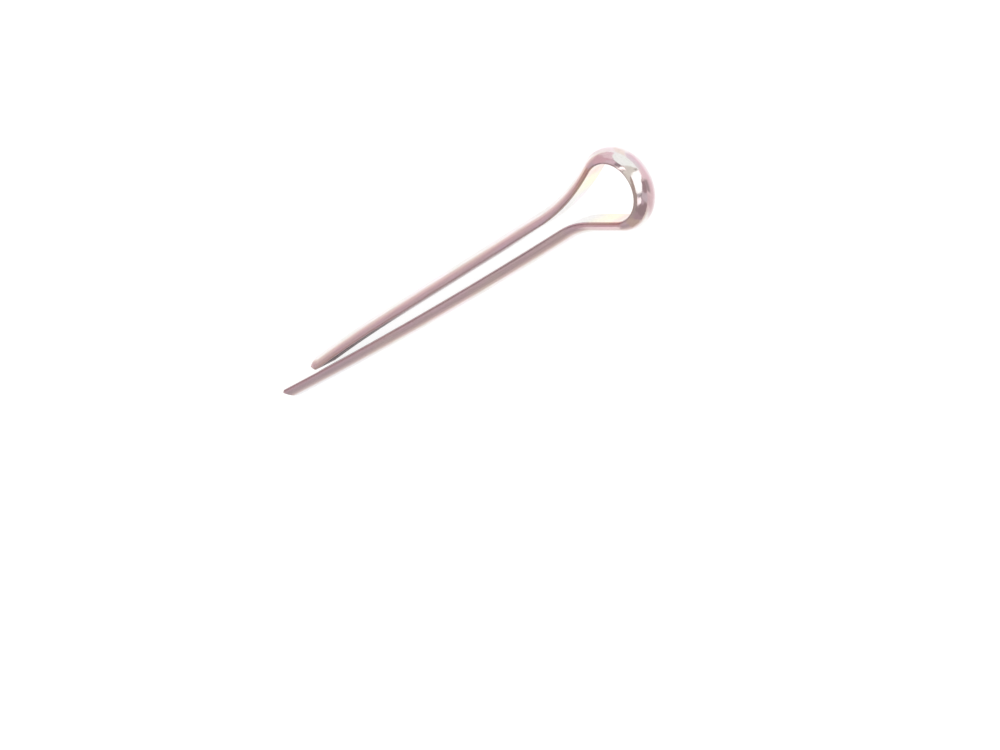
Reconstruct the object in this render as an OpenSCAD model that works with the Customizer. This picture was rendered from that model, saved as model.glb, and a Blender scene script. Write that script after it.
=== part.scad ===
// Split cotter pin: one length of half-round wire, bent round an open eye and
// laid back so that the two flat faces look at each other along the shank.
// The pin lies on its side. X runs from the leg tips to the eye, Y across the
// legs, Z up. The short leg is on the +Y side and the long leg on the -Y side.
// The origin is under the middle of the pin's outline, on the surface it lies on.
// Each range below keeps the two legs apart while the other values stay as they are.

/* [Wire] */
// Diameter of the round bar that the two legs make when they are closed
shank_d = 1.4; // [1:0.1:2]
// Radius worn on the two long edges of the half-round section
edge_r = 0.07; // [0.03:0.01:0.12]

/* [Eye] */
// Radius of the eye, to the flat inner face of the wire
eye_r = 1.53; // [1.52:0.01:2.4]
// Angle at which each neck runs in from the eye towards the shank
neck_angle = 22; // [15:0.5:22]

/* [Short leg] */
// Straight part of the neck
short_neck = 0.46; // [0.3:0.01:0.5]
// Radius of the bend that turns the neck into the leg
short_bend_r = 13; // [6:0.5:13]
// Angle at which the leg leaves that bend, leaning inwards
short_lean = 1.4; // [0.5:0.1:1.5]
// Straight run of the leg
short_run = 14.6; // [6:0.1:15]
// Angle that the leg has sprung in to, near its tip
short_toe = 6; // [3.5:0.5:6]
// Radius of that inward sweep
short_toe_r = 62; // [40:1:65]
// Angle by which the tip is kicked out again, away from the long leg
short_kick = 6; // [2:1:10]
// Radius of the back-bend between that sweep and the tip
short_back_r = 1.8; // [1.2:0.1:4]
// Length of the tip, from the back-bend to its point
short_tip = 1; // [0.9:0.1:2]

/* [Long leg] */
// Straight part of the neck
long_neck = 1.85; // [0.5:0.01:1.9]
// Radius of the bend that turns the neck into the leg
long_bend_r = 5.3; // [3:0.1:5.5]
// Angle at which the leg leaves that bend, leaning outwards
long_lean = 1.5; // [1.4:0.1:2.5]
// Length of the bowed part of the leg
long_run = 23.6; // [16:0.1:28]
// Radius of the bow, with its hollow side to the short leg
long_bow_r = 475; // [450:5:900]
// Length of the tip, from the bow to its point
long_tip = 1.6; // [1.3:0.1:3]

/* [Cut ends] */
// Distance from the flat side of the short leg to the point of its cut end
short_point = 0.29; // [0.1:0.01:0.4]
// Angle at which that end is cut back on the flat side of its point
short_flat_cut = 46; // [20:1:60]
// Angle at which that end is cut back on the round side of its point
short_round_cut = 46; // [20:1:55]
// Distance from the flat side of the long leg to the point of its cut end
long_point = 0.14; // [0.1:0.01:0.4]
// Angle at which that end is cut back on the flat side of its point
long_flat_cut = 58; // [20:1:60]
// Angle at which that end is cut back on the round side of its point
long_round_cut = 44; // [20:1:55]
// Radius left by the shears on the top and bottom of both points
shear_r = 0.1; // [0.05:0.01:0.3]

/* [Hidden] */

wire_r = shank_d / 2;
// Height of the middle of an eased edge above the wire's mid plane
ease_z = sqrt(pow(wire_r - edge_r, 2) - pow(edge_r, 2));
half_height = ease_z + edge_r;
section_fn = 48;
eye_fn = 96;
steps_per_bend = 14;
// Every other piece of the wire is slimmer by this much and laps into its neighbours
lap_step = 0.004;
lap = 0.03;
// Angle at which the shears' radius meets the top and bottom of the wire
shear_meet = 20;
// More than the wire is wide, so that a cutting block clears it
clear = 3 * wire_r;

// A piece of a leg is ["line", length] or ["bend", radius, turn]. A turn above
// zero bends towards the wire's round side, and one below zero towards its flat.
short_pieces = [
    ["line", short_neck],
    ["bend", short_bend_r, neck_angle - short_lean],
    ["line", short_run],
    ["bend", short_toe_r, short_lean - short_toe],
    ["bend", short_back_r, short_toe + short_kick]
];
long_pieces = [
    ["line", long_neck],
    ["bend", long_bend_r, neck_angle + long_lean],
    ["bend", long_bow_r, -degrees_along(long_run, long_bow_r)]
];

// A pose is [x, y, heading] on the flat face. Both legs are laid out on the -Y
// side, where the wire's round side is to the left of the heading.
neck_pose = [-eye_r * sin(neck_angle), -eye_r * cos(neck_angle), 180 - neck_angle];

// Angle that a length takes up along an arc
function degrees_along(length, radius) = length / radius * 180 / PI;

// Pose a distance further along a straight
function pose_along(p, length) = [p.x + length * cos(p[2]), p.y + length * sin(p[2]), p[2]];

// Pose after a bend: its centre is to the left of the heading for a turn above zero
function pose_round(p, radius, turn) =
    let (h = p[2] + turn, side = sign(turn) * radius)
    [p.x + side * (sin(h) - sin(p[2])), p.y + side * (cos(p[2]) - cos(h)), h];

function pose_past(p, piece) =
    piece[0] == "line" ? pose_along(p, piece[1]) : pose_round(p, piece[1], piece[2]);

// Pose at the start of piece number i of a leg
function pose_at(pieces, i) = i == 0 ? neck_pose : pose_past(pose_at(pieces, i - 1), pieces[i - 1]);

short_tip_pose = pose_at(short_pieces, len(short_pieces));
long_tip_pose = pose_at(long_pieces, len(long_pieces));
long_end_x = pose_along(long_tip_pose, long_tip).x - long_point * sin(long_tip_pose[2]);
outline_mid_x = (eye_r + wire_r + long_end_x) / 2;

// Half-round section: flat face on x = 0, round side towards +x, edges eased
module half_round(slimmer = 0) {
    edge_angle = atan2(ease_z, edge_r);
    far = 2 * wire_r;
    intersection() {
        circle(r = wire_r - slimmer, $fn = section_fn);
        polygon([
            [edge_r, -ease_z],
            far * [cos(edge_angle), -sin(edge_angle)],
            [far, -far],
            [far, far],
            far * [cos(edge_angle), sin(edge_angle)],
            [edge_r, ease_z]
        ]);
    }
    translate([slimmer, -ease_z])
        square([2 * edge_r, 2 * ease_z]);
    for (side = [-1, 1])
        translate([edge_r, side * ease_z])
            circle(r = edge_r - slimmer, $fn = section_fn);
}

// Straight of the wire along +X from the origin, with its round side towards +Y
module straight(length, slimmer = 0) {
    over = slimmer > 0 ? lap : 0;
    translate([-over, 0, 0])
        rotate([90, 0, 90])
            linear_extrude(length + 2 * over)
                half_round(slimmer);
}

// Bend of the wire from the origin, which sets out along +X with its round side towards +Y
module bend(radius, turn, slimmer = 0) {
    over = slimmer > 0 ? degrees_along(lap, radius) : 0;
    sweep = abs(turn) + 2 * over;
    first = turn > 0 ? -90 - over : 90 + turn - over;
    translate([0, sign(turn) * radius, 0])
        rotate([0, 0, first])
            rotate_extrude(angle = sweep, $fn = ceil(360 / sweep * steps_per_bend))
                translate([radius, 0])
                    mirror([turn > 0 ? 1 : 0, 0])
                        half_round(slimmer);
}

// Moves what is drawn along +X to a pose
module at(p) {
    translate([p.x, p.y, 0])
        rotate([0, 0, p[2]])
            children();
}

// What a rounded corner takes off: a block outside an arc, with its corner at +X +Y
module corner_waste(r) {
    difference() {
        square(clear);
        circle(r = r, $fn = section_fn);
    }
}

// Plan of a cut end: a blunt point at x = length, with a bevel on each side of it
module cut_plan(length, point, flat_cut, round_cut) {
    past = 0.5 * wire_r;
    top = wire_r + past;
    polygon([
        [-clear, -past],
        [length - (point + past) * tan(flat_cut), -past],
        [length, point],
        [length - (top - point) * tan(round_cut), top],
        [-clear, top]
    ]);
}

// Side view of a cut end, whose point is at x = length
module cut_side(length) {
    difference() {
        translate([-clear, -clear])
            square([clear + length, 2 * clear]);
        for (side = [0, 1])
            mirror([0, side])
                translate([length - shear_r, wire_r - shear_r * cos(shear_meet)])
                    corner_waste(shear_r);
    }
}

// Last straight of a leg, with the cut end that the shears left
module leg_tip(length, point, flat_cut, round_cut) {
    intersection() {
        straight(length + clear);
        translate([0, 0, -clear])
            linear_extrude(2 * clear)
                cut_plan(length, point, flat_cut, round_cut);
        translate([0, clear, 0])
            rotate([90, 0, 0])
                linear_extrude(2 * clear)
                    cut_side(length);
    }
}

// One leg from the eye to its last straight
module leg(pieces) {
    for (i = [0 : len(pieces) - 1]) {
        piece = pieces[i];
        slimmer = i % 2 == 0 ? lap_step : 0;
        at(pose_at(pieces, i))
            if (piece[0] == "line")
                straight(piece[1], slimmer);
            else
                bend(piece[1], piece[2], slimmer);
    }
}

module short_leg() {
    mirror([0, 1, 0]) {
        leg(short_pieces);
        at(short_tip_pose)
            leg_tip(short_tip, short_point, short_flat_cut, short_round_cut);
    }
}

module long_leg() {
    leg(long_pieces);
    at(long_tip_pose)
        leg_tip(long_tip, long_point, long_flat_cut, long_round_cut);
}

// Open eye: a little more than half a turn of the wire
module eye() {
    rotate([0, 0, -90 - neck_angle])
        rotate_extrude(angle = 180 + 2 * neck_angle, $fn = eye_fn)
            translate([eye_r, 0])
                half_round();
}

module cotter_pin() {
    color("silver")
        translate([-outline_mid_x, 0, half_height]) {
            eye();
            short_leg();
            long_leg();
        }
}

cotter_pin();
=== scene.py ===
"""A split cotter pin on a pale floor: a fine mesh of the bent wire, its bright plating, and a soft studio."""

import math

import bpy
from mathutils import Matrix, Vector


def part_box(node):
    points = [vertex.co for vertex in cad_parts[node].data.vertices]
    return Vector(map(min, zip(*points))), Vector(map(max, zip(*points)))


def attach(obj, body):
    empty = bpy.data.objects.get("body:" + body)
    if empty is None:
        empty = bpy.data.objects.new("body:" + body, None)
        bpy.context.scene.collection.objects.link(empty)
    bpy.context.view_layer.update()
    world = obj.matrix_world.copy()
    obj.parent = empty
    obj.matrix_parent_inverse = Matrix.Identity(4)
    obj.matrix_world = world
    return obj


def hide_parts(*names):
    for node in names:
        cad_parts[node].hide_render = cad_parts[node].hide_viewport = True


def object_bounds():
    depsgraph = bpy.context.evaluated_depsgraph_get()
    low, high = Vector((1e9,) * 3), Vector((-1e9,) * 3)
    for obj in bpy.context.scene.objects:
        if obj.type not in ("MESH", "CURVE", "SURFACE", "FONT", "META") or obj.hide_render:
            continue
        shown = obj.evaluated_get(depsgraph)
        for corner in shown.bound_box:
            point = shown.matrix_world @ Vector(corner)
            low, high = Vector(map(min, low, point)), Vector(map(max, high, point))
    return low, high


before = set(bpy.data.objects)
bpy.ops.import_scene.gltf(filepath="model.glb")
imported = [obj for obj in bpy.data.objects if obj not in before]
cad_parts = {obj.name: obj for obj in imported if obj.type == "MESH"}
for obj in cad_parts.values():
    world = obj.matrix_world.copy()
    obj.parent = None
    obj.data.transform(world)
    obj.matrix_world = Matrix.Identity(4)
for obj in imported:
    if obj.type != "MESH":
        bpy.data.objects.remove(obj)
CAD_LOW, CAD_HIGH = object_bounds()

MM = 0.001

# ---------------------------------------------------------------- the wire, in millimetres
# These are part.scad's dimensions, except for the short leg from its lean to its tip and for
# the long leg's bow: those fit the photograph better here.

SHANK_D = 1.4
WIRE_R = SHANK_D / 2
EDGE_R = 0.07
# Height of the middle of an eased edge above the wire's mid plane
EASE_Z = math.sqrt((WIRE_R - EDGE_R) ** 2 - EDGE_R**2)
EYE_R = 1.53
NECK_ANGLE = math.radians(22)

SHORT_NECK = 0.46
SHORT_BEND_R = 13
SHORT_LEAN = math.radians(1.2)
SHORT_RUN = 14.3
SHORT_TOE = math.radians(4.05)
SHORT_TOE_R = 120
SHORT_KICK = math.radians(3)
SHORT_BACK_R = 2

LONG_NECK = 1.85
LONG_BEND_R = 5.3
LONG_LEAN = math.radians(1.5)
LONG_RUN = 23.6
LONG_BOW_R = 455

# Cut ends: length of the last straight to its blunt point, how far that point is from the
# flat side, and the slopes that cut it back on its flat side and on its round side
SHORT_TIP = (0.46, 0.29, math.radians(46), math.radians(46))
LONG_TIP = (1.6, 0.14, math.radians(58), math.radians(44))
# Radius that the shears left on the top and bottom of both points
SHEAR_R = 0.1
SHEAR_MEET = math.radians(20)

# Where the frame puts the wire: its mid plane, and the middle of the eye, in metres
NODE_LOW, NODE_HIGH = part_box("cotter_pin")
MID_Z = (NODE_HIGH[2] - NODE_LOW[2]) / 2
EYE_X = NODE_HIGH[0] - (EYE_R + WIRE_R) * MM

# Fineness of the mesh: longest step along the wire, widest turn in one step, points round
# the section, and rings on a cut end
STEP = 0.22
TURN_STEP = math.radians(1.5)
ROUND_STEPS = 44
EDGE_STEPS = 9
FLAT_STEPS = 6
NOSE_RINGS = 16
CAP_RINGS = 14
# The last square ring stays this far behind a cut end
NOSE_CLEAR = 0.05


def line(length):
    """A straight piece of the wire, as (length, turn)."""
    return (length, 0.0)


def bend(radius, turn):
    """A bent piece, as (length, turn). A turn above zero bends towards the wire's round side."""
    return (radius * abs(turn), turn)


CROWN = [bend(EYE_R, -(math.pi / 2 + NECK_ANGLE))]
SHORT_LEG = [
    line(SHORT_NECK),
    bend(SHORT_BEND_R, NECK_ANGLE - SHORT_LEAN),
    line(SHORT_RUN),
    bend(SHORT_TOE_R, SHORT_LEAN - SHORT_TOE),
    bend(SHORT_BACK_R, SHORT_TOE + SHORT_KICK),
]
LONG_LEG = [
    line(LONG_NECK),
    bend(LONG_BEND_R, NECK_ANGLE + LONG_LEAN),
    bend(LONG_BOW_R, -LONG_RUN / LONG_BOW_R),
]

# Distance along the wire from the crown to the necks, and to each cut end
NECK_RUN = CROWN[0][0]
SHORT_END = sum(length for length, turn in CROWN + SHORT_LEG) + SHORT_TIP[0]
LONG_END = sum(length for length, turn in CROWN + LONG_LEG) + LONG_TIP[0]


def pose_after(pose, length, turn):
    """Pose (x, y, heading) on the flat face after an arc of that length and turn."""
    x, y, heading = pose
    if turn == 0:
        return (x + length * math.cos(heading), y + length * math.sin(heading), heading)
    radius = length / turn
    after = heading + turn
    return (
        x + radius * (math.sin(after) - math.sin(heading)),
        y + radius * (math.cos(heading) - math.cos(after)),
        after,
    )


def half_wire(pieces):
    """Poses from the crown to the start of a leg's tip, on the -Y side, each with its distance along."""
    pose = (EYE_R, 0.0, -math.pi / 2)
    run = 0.0
    found = []
    for length, turn in CROWN + pieces:
        steps = math.ceil(max(length / STEP, abs(turn) / TURN_STEP, 2))
        for i in range(steps):
            share = i / steps
            found.append((pose_after(pose, length * share, turn * share), run + length * share))
        pose = pose_after(pose, length, turn)
        run += length
    found.append((pose, run))
    return found


def section():
    """The half-round section as (out, up, normal out, normal up), with its flat face on out = 0."""
    edge_angle = math.atan2(EASE_Z, EDGE_R)
    points = []
    for i in range(ROUND_STEPS):
        a = -edge_angle + 2 * edge_angle * i / ROUND_STEPS
        n_out, n_up = math.cos(a), math.sin(a)
        points.append((WIRE_R * n_out, WIRE_R * n_up, n_out, n_up))
    for i in range(EDGE_STEPS):
        a = edge_angle + (math.pi - edge_angle) * i / EDGE_STEPS
        n_out, n_up = math.cos(a), math.sin(a)
        points.append((EDGE_R + EDGE_R * n_out, EASE_Z + EDGE_R * n_up, n_out, n_up))
    for i in range(FLAT_STEPS):
        points.append((0.0, EASE_Z - 2 * EASE_Z * i / FLAT_STEPS, -1.0, 0.0))
    for i in range(EDGE_STEPS):
        a = -math.pi + (math.pi - edge_angle) * i / EDGE_STEPS
        n_out, n_up = math.cos(a), math.sin(a)
        points.append((EDGE_R + EDGE_R * n_out, -EASE_Z + EDGE_R * n_up, n_out, n_up))
    return points


def cut_limit(tip, out, up):
    """Where a leg's cut end lies, along its last straight, at that place in the section."""
    length, point, flat_cut, round_cut = tip
    if out < point:
        bevel = -(point - out) * math.tan(flat_cut)
    else:
        bevel = -(out - point) * math.tan(round_cut)
    past = abs(up) - (WIRE_R - SHEAR_R * math.cos(SHEAR_MEET))
    shear = math.sqrt(max(SHEAR_R**2 - past**2, 0.0)) - SHEAR_R if past > 0 else 0.0
    return length + min(bevel, shear)


class Wire:
    """Vertices of the swept wire, each with its place in the unbent wire (out, up, run) and its normal."""

    def __init__(self):
        self.places = []
        self.unbent = []
        self.normals = []

    def add(self, pose, side, run, out, up, normal=None):
        """One vertex beside a pose. Side 1 keeps the -Y side, and -1 mirrors it to +Y."""
        x, y, heading = pose
        left_x, left_y = -math.sin(heading), math.cos(heading)
        self.places.append((x + out * left_x, side * (y + out * left_y), up))
        self.unbent.append((out, up, side * run))
        if normal is not None:
            normal = (normal[0] * left_x, side * normal[0] * left_y, normal[1])
        self.normals.append(normal)
        return len(self.places) - 1

    def ring(self, pose, side, run, points):
        """A section of the wire square to a pose."""
        return [self.add(pose, side, run, out, up, (n_out, n_up)) for out, up, n_out, n_up in points]


def cut_end(wire, start, side, run, tip, points):
    """Rings of a leg's last straight and its cut end, and the vertex in the middle of that end."""
    plain = min(cut_limit(tip, out, up) for out, up, n_out, n_up in points) - NOSE_CLEAR
    steps = math.ceil(plain / STEP)
    rings = []
    for i in range(1, steps + 1):
        along = plain * i / steps
        rings.append(wire.ring(pose_after(start, along, 0.0), side, run + along, points))
    for i in range(1, NOSE_RINGS + 1):
        ring = []
        for out, up, n_out, n_up in points:
            along = plain + (cut_limit(tip, out, up) - plain) * i / NOSE_RINGS
            normal = (n_out, n_up) if i < NOSE_RINGS else None
            ring.append(wire.add(pose_after(start, along, 0.0), side, run + along, out, up, normal))
        rings.append(ring)
    middle_out = WIRE_R / 2
    for i in range(1, CAP_RINGS):
        share = 1 - i / CAP_RINGS
        ring = []
        for point in points:
            out = middle_out + (point[0] - middle_out) * share
            up = point[1] * share
            along = cut_limit(tip, out, up)
            ring.append(wire.add(pose_after(start, along, 0.0), side, run + along, out, up))
        rings.append(ring)
    along = cut_limit(tip, middle_out, 0.0)
    return rings, wire.add(pose_after(start, along, 0.0), side, run + along, middle_out, 0.0)


def wire_mesh():
    """The whole pin's vertices and faces, from the short leg's cut end round the eye to the long leg's."""
    wire = Wire()
    points = section()
    halves = []
    # The crown's own ring is the long leg's first, and the short leg starts one ring further on
    for pieces, side, tip, first in ((SHORT_LEG, -1, SHORT_TIP, 1), (LONG_LEG, 1, LONG_TIP, 0)):
        poses = half_wire(pieces)
        rings = [wire.ring(pose, side, run, points) for pose, run in poses[first:]]
        start, run = poses[-1]
        ends, middle = cut_end(wire, start, side, run, tip, points)
        halves.append((rings + ends, middle))
    (short_rings, short_middle), (long_rings, long_middle) = halves
    rings = short_rings[::-1] + long_rings
    faces = []
    for k in range(len(points)):
        following = (k + 1) % len(points)
        for near, far in zip(rings, rings[1:]):
            faces.append((near[k], near[following], far[following], far[k]))
        faces.append((short_middle, rings[0][following], rings[0][k]))
        faces.append((long_middle, rings[-1][k], rings[-1][following]))
    return wire, faces


def filling(places, low, high):
    """Places in metres, moved and scaled from millimetres so that they fill a box exactly."""
    least = [min(values) for values in zip(*places)]
    most = [max(values) for values in zip(*places)]
    scale = [(high[i] - low[i]) / (most[i] - least[i]) for i in range(3)]
    return [[low[i] + (place[i] - least[i]) * scale[i] for i in range(3)] for place in places]


def make_pin():
    """The pin as one mesh, with exact normals, so that its reflections run clean."""
    wire, faces = wire_mesh()
    mesh = bpy.data.meshes.new("cotter_pin_wire")
    mesh.from_pydata(filling(wire.places, NODE_LOW, NODE_HIGH), [], faces)
    mesh.shade_smooth()
    unbent = mesh.attributes.new("unbent", "FLOAT_VECTOR", "POINT")
    unbent.data.foreach_set("vector", [value for point in wire.unbent for value in point])
    normals = [known or tuple(own.vector) for known, own in zip(wire.normals, mesh.vertex_normals)]
    mesh.normals_split_custom_set_from_vertices(normals)
    pin = bpy.data.objects.new("cotter_pin_wire", mesh)
    bpy.context.scene.collection.objects.link(pin)
    return pin


def direction(azimuth, elevation):
    """Unit vector: azimuth in degrees from +X towards +Y, elevation in degrees above the floor."""
    a, e = math.radians(azimuth), math.radians(elevation)
    return Vector((math.cos(a) * math.cos(e), math.sin(a) * math.cos(e), math.sin(e)))


# ---------------------------------------------------------------- shader nodes


class Nodes:
    """Adds and links nodes in one node tree."""

    def __init__(self, tree):
        self.tree = tree
        tree.nodes.clear()

    def add(self, kind, **settings):
        node = self.tree.nodes.new(kind)
        for name, value in settings.items():
            setattr(node, name, value)
        return node

    def link(self, start, end):
        self.tree.links.new(start, end)


def combined(n, kind, first, second):
    """Two values put together by a maths step, such as ADD or MAXIMUM."""
    step = n.add("ShaderNodeMath", operation=kind)
    n.link(first, step.inputs[0])
    n.link(second, step.inputs[1])
    return step.outputs[0]


def product(n, first, second):
    return combined(n, "MULTIPLY", first, second)


def smooth_step(n, value, start, end):
    """0 at the start and 1 at the end, with a smooth change between them. The end may be the lower one."""
    step = n.add("ShaderNodeMapRange", interpolation_type="SMOOTHSTEP")
    n.link(value, step.inputs["Value"])
    step.inputs["From Min"].default_value = start
    step.inputs["From Max"].default_value = end
    return step.outputs["Result"]


def scaled(n, value, low, high, to_low, to_high):
    """A value mapped from one range to another, and kept inside it."""
    spread = n.add("ShaderNodeMapRange")
    n.link(value, spread.inputs["Value"])
    spread.inputs["From Min"].default_value = low
    spread.inputs["From Max"].default_value = high
    spread.inputs["To Min"].default_value = to_low
    spread.inputs["To Max"].default_value = to_high
    return spread.outputs["Result"]


def blend(n, share, first, second):
    """A mix of two colours. Each is a socket or a plain colour."""
    mix = n.add("ShaderNodeMix", data_type="RGBA")
    n.link(share, mix.inputs["Factor"])
    for colour, name in ((first, "A"), (second, "B")):
        if isinstance(colour, tuple):
            mix.inputs[name].default_value = (*colour, 1)
        else:
            n.link(colour, mix.inputs[name])
    return mix.outputs["Result"]


def noise(n, vector, across, along, detail, seed):
    """Noise of about 0 to 1 in the unbent wire's space, in cells per millimetre across and along it."""
    stretch = n.add("ShaderNodeVectorMath", operation="MULTIPLY_ADD")
    n.link(vector, stretch.inputs[0])
    stretch.inputs[1].default_value = (across, across, along)
    stretch.inputs[2].default_value = (seed, 2 * seed, 3 * seed)
    pattern = n.add("ShaderNodeTexNoise")
    n.link(stretch.outputs["Vector"], pattern.inputs["Vector"])
    pattern.inputs["Scale"].default_value = 1.0
    pattern.inputs["Detail"].default_value = detail
    return pattern.outputs["Fac"]


# ---------------------------------------------------------------- the plating

ROSY_ZINC = (0.92, 0.85, 0.88)
GREY_ZINC = (0.87, 0.87, 0.83)
GRAIN_COLOUR = (0.72, 0.68, 0.69)
STREAK_COLOUR = (0.66, 0.62, 0.63)
# Greyer zinc, on the far end of the long leg
GREYER_FAR_ZINC = (0.80, 0.79, 0.81)
# The stain on the flat side of both necks, by the eye and farther from it
PINK_STAIN = (0.91, 0.72, 0.65)
YELLOW_STAIN = (0.94, 0.90, 0.68)
CUT_STEEL = (0.92, 0.90, 0.91)
# Depth of the draw lines and the grain. Like every length in the plating it is in millimetres.
RELIEF_DEPTH = 0.0022


def near_cut_ends(n, run):
    """1 on the last of both legs, where the shears left them dull."""
    short_end = smooth_step(n, run, 0.35 - SHORT_END, 0.05 - SHORT_END)
    long_end = smooth_step(n, run, LONG_END - 0.25, LONG_END - 0.05)
    return combined(n, "MAXIMUM", short_end, long_end)


def neck_stain(n, out, distance, patches):
    """1 where the flat side of both necks is stained."""
    begun = smooth_step(n, distance, NECK_RUN - 0.6, NECK_RUN - 0.2)
    not_over = smooth_step(n, distance, NECK_RUN + 2.4, NECK_RUN + 1.0)
    on_flat = smooth_step(n, out, 3 * EDGE_R, EDGE_R)
    patchy = scaled(n, patches, 0.3, 0.6, 0.5, 1.0)
    return product(n, product(n, product(n, begun, not_over), patchy), on_flat)


def plated_steel():
    """Bright zinc over drawn wire: a mirror with draw lines, a patchy haze, stains and dull cut ends."""
    material = bpy.data.materials.new("plated_steel")
    material.use_nodes = True
    n = Nodes(material.node_tree)
    output = n.add("ShaderNodeOutputMaterial")
    shader = n.add("ShaderNodeBsdfPrincipled")
    shader.inputs["Metallic"].default_value = 1.0
    n.link(shader.outputs["BSDF"], output.inputs["Surface"])
    unbent = n.add("ShaderNodeAttribute", attribute_name="unbent").outputs["Vector"]
    apart = n.add("ShaderNodeSeparateXYZ")
    n.link(unbent, apart.inputs[0])
    out, run = apart.outputs["X"], apart.outputs["Z"]
    unsigned = n.add("ShaderNodeMath", operation="ABSOLUTE")
    n.link(run, unsigned.inputs[0])
    distance = unsigned.outputs[0]

    draw_lines = noise(n, unbent, across=16, along=0.5, detail=2, seed=3.1)
    patches = noise(n, unbent, across=1.6, along=0.7, detail=3, seed=7.7)
    grain = noise(n, unbent, across=9, along=7, detail=3, seed=1.3)
    on_leg = smooth_step(n, distance, NECK_RUN - 0.3, NECK_RUN + 2.0)
    cut = near_cut_ends(n, run)

    zinc = blend(n, scaled(n, patches, 0.35, 0.65, 0.0, 1.0), ROSY_ZINC, GREY_ZINC)
    zinc = blend(n, scaled(n, grain, 0.3, 0.75, 0.0, 0.3), zinc, GRAIN_COLOUR)
    streaks = product(n, on_leg, scaled(n, draw_lines, 0.42, 0.66, 0.0, 0.34))
    zinc = blend(n, streaks, zinc, STREAK_COLOUR)
    zinc = blend(n, smooth_step(n, run, LONG_END - 10, LONG_END - 5), zinc, GREYER_FAR_ZINC)
    farther = smooth_step(n, distance, NECK_RUN + 0.1, NECK_RUN + 0.6)
    zinc = blend(n, neck_stain(n, out, distance, patches), zinc, blend(n, farther, PINK_STAIN, YELLOW_STAIN))
    n.link(blend(n, cut, zinc, CUT_STEEL), shader.inputs["Base Color"])

    haze = scaled(n, patches, 0.3, 0.7, 0.05, 0.13)
    for value, low, high, rougher in (
        (draw_lines, 0.3, 0.7, 0.06),
        (on_leg, 0, 1, 0.06),
        (cut, 0, 1, 0.22),
    ):
        haze = combined(n, "ADD", haze, scaled(n, value, low, high, 0.0, rougher))
    n.link(haze, shader.inputs["Roughness"])

    relief = combined(n, "ADD", scaled(n, draw_lines, 0, 1, 0.0, 1.0), scaled(n, grain, 0, 1, 0.0, 0.7))
    bump = n.add("ShaderNodeBump")
    n.link(relief, bump.inputs["Height"])
    bump.inputs["Strength"].default_value = 1.0
    bump.inputs["Distance"].default_value = RELIEF_DEPTH * MM
    n.link(bump.outputs["Normal"], shader.inputs["Normal"])
    return material


# ---------------------------------------------------------------- the ground

WHITE = (1.0, 1.0, 1.0)
# In metres
FLOOR_SIZE = 4.0
# How far the floor lies below the pin, in millimetres, so that the two never share a plane
FLOOR_GAP = 0.002
# The floor's own white, and the grey under it that the lamp and the room light up
FLOOR_GLOW = 0.86
FLOOR_DIFFUSE = (0.28, 0.28, 0.28)


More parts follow.
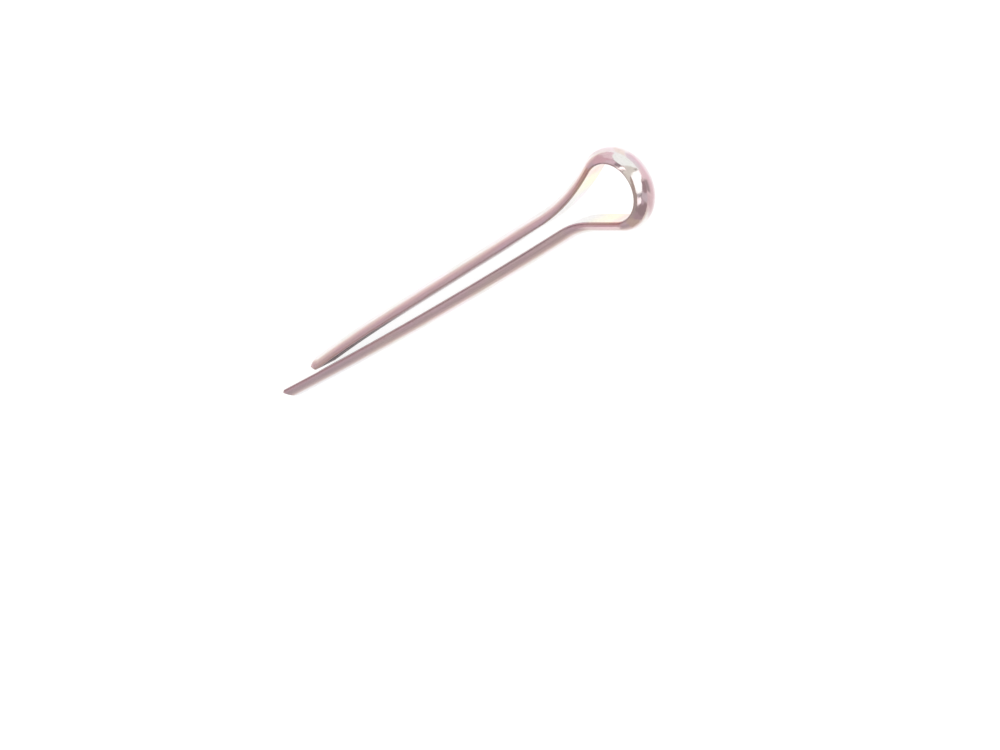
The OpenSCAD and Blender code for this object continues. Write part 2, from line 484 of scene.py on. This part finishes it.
def ground_white_with_painted_shade(n):
    """White to the camera. The metal shows it with painted shade, a painted shadow and painted reflections of
    the room, by the direction and distance from the eye.
    """
    place = n.add("ShaderNodeNewGeometry")
    from_eye = n.add("ShaderNodeVectorMath", operation="SUBTRACT")
    n.link(place.outputs["Position"], from_eye.inputs[0])
    from_eye.inputs[1].default_value = (EYE_X, 0, CAD_LOW[2])
    vector = from_eye.outputs["Vector"]
    length = n.add("ShaderNodeVectorMath", operation="LENGTH")
    n.link(vector, length.inputs[0])
    unit = n.add("ShaderNodeVectorMath", operation="NORMALIZE")
    n.link(vector, unit.inputs[0])

    def along(azimuth, value):
        """How far a vector reaches along an azimuth."""
        toward = n.add("ShaderNodeVectorMath", operation="DOT_PRODUCT")
        n.link(value, toward.inputs[0])
        toward.inputs[1].default_value = direction(azimuth, 0)
        return toward.outputs["Value"]

    def beyond(azimuth, start, end):
        """Share that grows with the distance from the eye along an azimuth, in millimetres."""
        return smooth_step(n, along(azimuth, vector), start * MM, end * MM)

    def fan(azimuth, full, none, start, end):
        """A sector, full within one angle and gone at another, that begins at a distance from the eye.
        Angles are in degrees, and distances in millimetres."""
        cosine = along(azimuth, unit.outputs["Vector"])
        within = smooth_step(n, cosine, math.cos(math.radians(none)), math.cos(math.radians(full)))
        return product(n, within, smooth_step(n, length.outputs["Value"], start * MM, end * MM))

    past_eye = product(n, beyond(0, -5, -1), beyond(-90, 2.8, 9))
    past_long_leg = product(n, beyond(180, 1, 5), beyond(-90, 1, 9))
    between_legs = product(n, beyond(90, -0.75, -0.5), beyond(-90, -0.5, -0.3))
    gap_shadow = product(n, beyond(180, 7, 10.5), between_legs)
    toe_gap_shadow = product(n, beyond(180, 18.5, 21.5), between_legs)
    painted_shades = [
        # Painted shade on the ground that the metal shows, beyond the short leg and beyond the long leg
        (beyond(90, 3, 40), (0.88, 0.73, 0.67)),
        (combined(n, "ADD", past_eye, past_long_leg), (0.60, 0.425, 0.37)),
        # Painted reflections and painted shade round the eye: pale beside it, pink ahead of it, deeper pink
        # ahead on the long leg's side, lavender and peach ahead on the short leg's side, and pale grey
        # further out
        (fan(95, 18, 34, 2.3, 3.6), (0.87, 0.74, 0.77)),
        (fan(0, 36, 50, 1.9, 2.9), (0.70, 0.43, 0.49)),
        (fan(-40, 12, 48, 1.9, 2.9), (0.62, 0.37, 0.42)),
        (fan(31, 14, 22, 2.4, 3.4), (0.64, 0.49, 0.56)),
        (fan(61, 8, 14, 2.1, 3.0), (0.82, 0.70, 0.62)),
        (fan(47, 33, 43, 5.5, 12), (0.80, 0.82, 0.80)),
        # Painted reflections of the lilac wall and the dark figure, carried down onto the ground
        (fan(-51, 9, 13, 2.8, 5.0), (0.50, 0.26, 0.31)),
        (fan(-22, 9, 15, 2.8, 4.2), (0.14, 0.02, 0.04)),
        # Painted shadow of the legs on the ground between them, darker by the toe
        (gap_shadow, (0.60, 0.53, 0.54)),
        (toe_gap_shadow, (0.20, 0.165, 0.17)),
    ]
    painted_ground = WHITE
    for share, painted_tint in painted_shades:
        painted_ground = blend(n, share, painted_ground, painted_tint)
    path = n.add("ShaderNodeLightPath")
    return blend(n, path.outputs["Is Glossy Ray"], WHITE, painted_ground)


def pale_floor():
    """White ground: partly its own white, so that it stays white, and partly lit, for the shadow."""
    material = bpy.data.materials.new("pale_floor")
    material.use_nodes = True
    n = Nodes(material.node_tree)
    output = n.add("ShaderNodeOutputMaterial")
    diffuse = n.add("ShaderNodeBsdfDiffuse")
    diffuse.inputs["Color"].default_value = (*FLOOR_DIFFUSE, 1)
    # Only the camera and the metal see the glow, so it lights nothing
    path = n.add("ShaderNodeLightPath")
    seen = combined(n, "MAXIMUM", path.outputs["Is Camera Ray"], path.outputs["Is Glossy Ray"])
    glow = n.add("ShaderNodeEmission")
    n.link(scaled(n, seen, 0, 1, 0.0, FLOOR_GLOW), glow.inputs["Strength"])
    n.link(ground_white_with_painted_shade(n), glow.inputs["Color"])
    both = n.add("ShaderNodeAddShader")
    n.link(diffuse.outputs[0], both.inputs[0])
    n.link(glow.outputs[0], both.inputs[1])
    n.link(both.outputs[0], output.inputs["Surface"])
    return material


def make_floor():
    h = FLOOR_SIZE / 2
    mesh = bpy.data.meshes.new("floor")
    mesh.from_pydata([(-h, -h, 0), (h, -h, 0), (h, h, 0), (-h, h, 0)], [], [(0, 1, 2, 3)])
    mesh.materials.append(pale_floor())
    floor = bpy.data.objects.new("floor", mesh)
    floor.location = (0, 0, CAD_LOW[2] - FLOOR_GAP * MM)
    bpy.context.scene.collection.objects.link(floor)


# ---------------------------------------------------------------- light

# Colour of the room that the metal shows on each side of the pin, by the height of
# the direction: 0 is the horizon and 1 straight up. The left side is the short leg's.
ROOM_LEFT = [
    (0.0, (1.0, 0.90, 0.85)),
    (0.12, (0.93, 0.75, 0.72)),
    (0.24, (0.80, 0.59, 0.58)),
    (0.42, (0.625, 0.43, 0.46)),
    (0.57, (0.555, 0.41, 0.45)),
    (0.65, (0.49, 0.38, 0.43)),
    (0.75, (0.40, 0.31, 0.32)),
    (1.0, (0.42, 0.32, 0.28)),
]
ROOM_RIGHT = [
    (0.0, (0.72, 0.57, 0.54)),
    (0.12, (0.59, 0.46, 0.455)),
    (0.24, (0.505, 0.388, 0.392)),
    (0.33, (0.465, 0.355, 0.363)),
    (0.47, (0.437, 0.334, 0.352)),
    (0.61, (0.565, 0.415, 0.465)),
    (0.75, (0.39, 0.31, 0.325)),
    (1.0, (0.42, 0.32, 0.28)),
]
# The two sides meet over this share of a direction's Y
SIDES_MEET = 0.25
# Light that the room gives to the ground
ROOM_STRENGTH = 0.75

# Panes that only the metal shows, the nearest first: name, colour, and outline as
# (azimuth, elevation). Each is a fan of triangles from its first corner.
PANES = [
    ("window_frame", (0.40, 0.37, 0.34),
     [(16, 2), (21, 2), (27, 60), (45, 76), (30, 76), (24, 62), (17, 25)]),
    ("window", (1.3, 1.27, 1.24),
     [(12, 83), (30, 76), (24, 62), (17, 25), (14, -5), (0, 1), (-10, 19), (-27, 33), (-42, 43), (-88, 74),
      (-118, 77), (-74, 83)]),
    ("mullion", (0.38, 0.31, 0.33),
     [(-44, 40), (-52, 44), (-62, 53), (-107, 71), (-112, 74), (-103, 75), (-88, 74), (-42, 43)]),
    ("small_window", (1.3, 1.12, 1.14),
     [(-107, 71), (-62, 53), (-66, 48), (-76, 48), (-100, 58), (-125, 63)]),
    ("strip_light", (1.8, 1.62, 1.55),
     [(96, 68), (165, 57), (170, 54), (84, 72), (76, 71), (67, 65)]),
    ("strip_edge", (0.40, 0.35, 0.33),
     [(172, 52), (175, 54), (90, 76), (84, 72)]),
    ("dark_shelf", (0.29, 0.22, 0.235),
     [(102, 59), (115, 60), (151, 60), (151, 63), (96, 67), (88, 63)]),
    ("light_wall", (0.97, 1.0, 0.97),
     [(20, -3), (36, 40), (65, 59), (96, 64), (96, 51), (89, 31), (84, 2), (84, -3)]),
    ("grey_wall", (0.73, 0.68, 0.62),
     [(14, -3), (34, 29), (78, 55), (75, 71), (160, 65), (172, 58), (180, 60), (180, 72)]),
    ("dark_figure", (0.36, 0.25, 0.265),
     [(-13, -5), (-40, -5), (-41, 24), (-32, 28), (-12, 19)]),
    ("lilac_wall", (0.60, 0.485, 0.525),
     [(-56, 47), (-62, 20), (-62, -5), (-42, -5), (-41, 24), (-42, 43), (-88, 74), (-103, 74), (-107, 71),
      (-61, 53)]),
    ("mauve_wall", (0.41, 0.285, 0.31),
     [(-112, 47), (-150, 55), (-141, 48), (-110, 19), (-108, 2), (-97, -3), (-95, 18)]),
    ("dark_wall", (0.33, 0.23, 0.245),
     [(-112, 47), (-102, 18), (-93, -8), (-66, -8), (-64, 22), (-72, 30), (-80, 48), (-125, 63), (-132, 61),
      (-147, 57)]),
    ("olive_wall", (0.51, 0.385, 0.33),
     [(-141, 48), (-110, 19), (-112, -5), (-130, -5), (-138, 28), (-167, 46), (-171, 48)]),
    ("rose_wall", (0.55, 0.34, 0.37),
     [(-180, 21), (-152, 21), (-155, 30), (-160, 34), (-180, 34)]),
    ("dark_rose", (0.44, 0.25, 0.26),
     [(-180, 34), (-160, 34), (-165, 39), (-174, 41), (-180, 41)]),
    ("pale_corner", (0.95, 0.77, 0.78),
     [(-180, -12), (-150, -12), (-152, 21), (-180, 21)]),
    ("pale_pink", (0.82, 0.60, 0.65),
     [(118, 34), (121, 12), (108, 3), (92, -4), (84, -4), (84, 2), (89, 31), (97, 48), (112, 44)]),
    ("lilac_sill", (0.70, 0.52, 0.57),
     [(133, 50), (157, 50), (151, 60), (115, 62), (102, 60), (104, 50)]),
    ("pink_wall", (0.67, 0.42, 0.47),
     [(133, 50), (157, 50), (160, 44), (138, 23), (125, 9), (108, 3), (108, 30), (97, 48)]),
    ("brown_corner", (0.50, 0.31, 0.26),
     [(180, 17), (153, 17), (156, 30), (161, 35), (172, 42), (180, 40)]),
    ("pale_brown", (0.95, 0.82, 0.68),
     [(180, -12), (150, -12), (153, 17), (180, 17)]),
    ("dark_back", (0.125, 0.09, 0.10),
     [(-166, 34), (166, 34), (166, 46), (175, 52), (-175, 52), (-166, 46)]),
]
# In metres
PANE_DISTANCE = 1.0
PANE_SPACING = 0.05

# The lamp, in metres and degrees. Its width lies along X before it is turned.
LAMP_PLACE = (0.6, -0.1, 1.0)
LAMP_WIDTH = 1.4
LAMP_DEPTH = 0.8
LAMP_TURN = 6
LAMP_RADIANCE = 1.5


def room_ramp(n, height, stops):
    """Colour of one side of the room by height."""
    ramp = n.add("ShaderNodeValToRGB")
    elements = ramp.color_ramp.elements
    while len(elements) < len(stops):
        elements.new(0.5)
    for element, (position, colour) in zip(elements, stops):
        element.position = position
        element.color = (*colour, 1)
    n.link(height, ramp.inputs["Fac"])
    return ramp.outputs["Color"]


def make_world():
    """Even white light for the ground, and a dim pinkish room for the metal to show."""
    world = bpy.data.worlds.new("studio")
    bpy.context.scene.world = world
    world.use_nodes = True
    n = Nodes(world.node_tree)
    output = n.add("ShaderNodeOutputWorld")
    coordinates = n.add("ShaderNodeTexCoord")
    apart = n.add("ShaderNodeSeparateXYZ")
    n.link(coordinates.outputs["Generated"], apart.inputs[0])
    left = smooth_step(n, apart.outputs["Y"], -SIDES_MEET, SIDES_MEET)
    height = apart.outputs["Z"]
    room = n.add("ShaderNodeBackground")
    sides = blend(n, left, room_ramp(n, height, ROOM_RIGHT), room_ramp(n, height, ROOM_LEFT))
    n.link(sides, room.inputs["Color"])
    even = n.add("ShaderNodeBackground")
    even.inputs["Strength"].default_value = ROOM_STRENGTH
    even.inputs["Color"].default_value = (*WHITE, 1)
    path = n.add("ShaderNodeLightPath")
    mix = n.add("ShaderNodeMixShader")
    n.link(path.outputs["Is Glossy Ray"], mix.inputs["Fac"])
    n.link(even.outputs[0], mix.inputs[1])
    n.link(room.outputs[0], mix.inputs[2])
    n.link(mix.outputs[0], output.inputs["Surface"])


def make_pane(name, colour, outline, distance):
    """A glowing pane round the eye of the pin, seen only in the metal."""
    material = bpy.data.materials.new(name)
    material.use_nodes = True
    n = Nodes(material.node_tree)
    output = n.add("ShaderNodeOutputMaterial")
    glow = n.add("ShaderNodeEmission")
    glow.inputs["Color"].default_value = (*colour, 1)
    n.link(glow.outputs[0], output.inputs["Surface"])
    corners = [direction(azimuth, elevation) * distance for azimuth, elevation in outline]
    mesh = bpy.data.meshes.new(name)
    mesh.from_pydata(corners, [], [(0, i, i + 1) for i in range(1, len(corners) - 1)])
    mesh.materials.append(material)
    pane = bpy.data.objects.new(name, mesh)
    pane.location = (EYE_X, 0, MID_Z)
    bpy.context.scene.collection.objects.link(pane)
    pane.visible_camera = False
    pane.visible_diffuse = False
    pane.visible_shadow = False


def make_panes():
    for i, (name, colour, outline) in enumerate(PANES):
        make_pane(name, colour, outline, PANE_DISTANCE + i * PANE_SPACING)


def make_lamp():
    """A rectangular lamp that looks straight down. The metal doesn't show it."""
    lamp = bpy.data.lights.new("soft_lamp", "AREA")
    lamp.shape = "RECTANGLE"
    lamp.size = LAMP_WIDTH
    lamp.size_y = LAMP_DEPTH
    lamp.energy = LAMP_RADIANCE * math.pi * LAMP_WIDTH * LAMP_DEPTH
    placed = bpy.data.objects.new("soft_lamp", lamp)
    placed.location = LAMP_PLACE
    placed.rotation_euler = (0, 0, math.radians(LAMP_TURN))
    placed.visible_glossy = False
    bpy.context.scene.collection.objects.link(placed)


# ---------------------------------------------------------------- camera

# The photograph's view: from beyond the eye, steeply down, with the camera rolled.
# Lengths are in millimetres and angles in degrees.
VIEW_ELEVATION = 43.0
VIEW_AZIMUTH = 0.06
VIEW_ROLL = -118.82
VIEW_DISTANCE = 210
# Width of the picture at the eye, and how far right of its middle and above it the eye is
VIEW_WIDTH = 50.30181
EYE_RIGHT = 5.912
EYE_UP = 9.351
SENSOR_WIDTH = 36
CLIP_START = 10


def make_camera():
    """The camera, built from its own axes: back to the lens, and right and up in the picture."""
    data = bpy.data.cameras.new("camera")
    data.sensor_width = SENSOR_WIDTH
    data.lens = SENSOR_WIDTH * VIEW_DISTANCE / VIEW_WIDTH
    data.clip_start = CLIP_START * MM
    back = direction(VIEW_AZIMUTH, VIEW_ELEVATION)
    level = Vector((0, 0, 1)).cross(back).normalized()
    upright = back.cross(level)
    turn = math.radians(VIEW_ROLL)
    right = level * math.cos(turn) + upright * math.sin(turn)
    up = upright * math.cos(turn) - level * math.sin(turn)
    aim = Vector((EYE_X, 0, MID_Z)) - right * EYE_RIGHT * MM - up * EYE_UP * MM
    place = aim + back * (VIEW_DISTANCE * MM)
    camera = bpy.data.objects.new("camera", data)
    camera.matrix_world = Matrix.Translation(place) @ Matrix((right, up, back)).transposed().to_4x4()
    bpy.context.scene.collection.objects.link(camera)
    bpy.context.scene.camera = camera


pin = make_pin()
pin.data.materials.append(plated_steel())
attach(pin, "root")
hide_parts("cotter_pin")
make_floor()
make_world()
make_lamp()
make_panes()
make_camera()

bpy.context.scene.view_settings.view_transform = "Standard"
